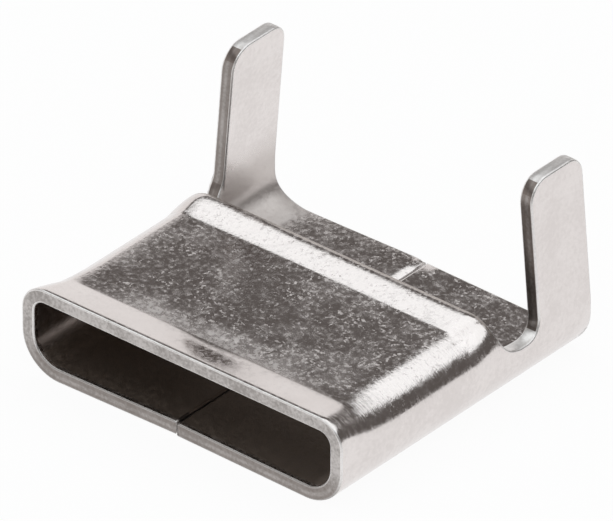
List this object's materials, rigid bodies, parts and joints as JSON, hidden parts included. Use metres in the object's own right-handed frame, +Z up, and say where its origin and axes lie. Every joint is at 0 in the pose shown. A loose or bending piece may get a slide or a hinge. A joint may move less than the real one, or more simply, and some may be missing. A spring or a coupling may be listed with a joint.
{
  "type": "strapping buckle",
  "caption": "Folded stainless sheet buckle for steel strap: a flat open tube holds the strap and two upright ears behind it bend down over its tail.",
  "frame": {"origin": "below the middle of the buckle, on the surface that it lies on", "axes": "+X across the strap to the right, +Y along the strap from the open front rim to the ears, +Z up from the floor to the roof"},
  "size_m": [0.0214, 0.0198, 0.0115],
  "materials": {
    "stainless": "bright tumbled stainless sheet with sheared edges"
  },
  "bodies": {
    "root": {"buckle": "stainless"}
  },
  "joints": []
}
